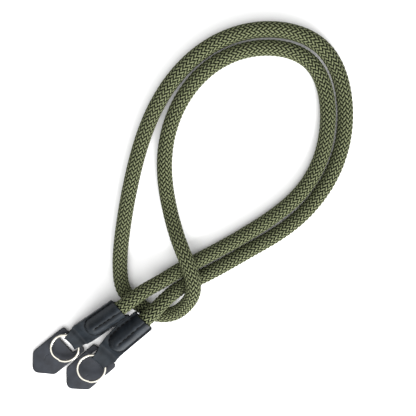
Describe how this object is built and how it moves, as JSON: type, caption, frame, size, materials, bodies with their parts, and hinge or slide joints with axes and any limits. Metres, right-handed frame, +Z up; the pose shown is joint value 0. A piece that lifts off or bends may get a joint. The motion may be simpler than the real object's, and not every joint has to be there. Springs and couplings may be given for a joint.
{
  "type": "camera neck strap",
  "caption": "Round braided cord neck strap for a camera, doubled over and laid flat, with stitched leather ends, split rings and leather lug guards.",
  "frame": {"origin": "on the surface that the strap lies on, under the middle of the box round the two leather ends with their rings and guards", "axes": "+Z up from the surface; +X and +Y lie on it, with the guards' tips pointing to -X and -Y and the rope's big loop lying towards +X and +Y"},
  "size_m": [0.2121, 0.2464, 0.0235],
  "materials": {
    "braided_cord": "matte braid of olive yarn",
    "sleeve_leather": "smooth black leather, satin",
    "guard_leather": "smooth black leather, satin",
    "ring_steel": "polished nickel plating"
  },
  "bodies": {
    "root": {"neck_rope": "braided_cord", "leather_sleeve_a": "sleeve_leather", "leather_sleeve_b": "sleeve_leather", "split_ring_a": "ring_steel", "split_ring_b": "ring_steel", "lug_guard_a": "guard_leather", "lug_guard_b": "guard_leather"}
  },
  "joints": []
}
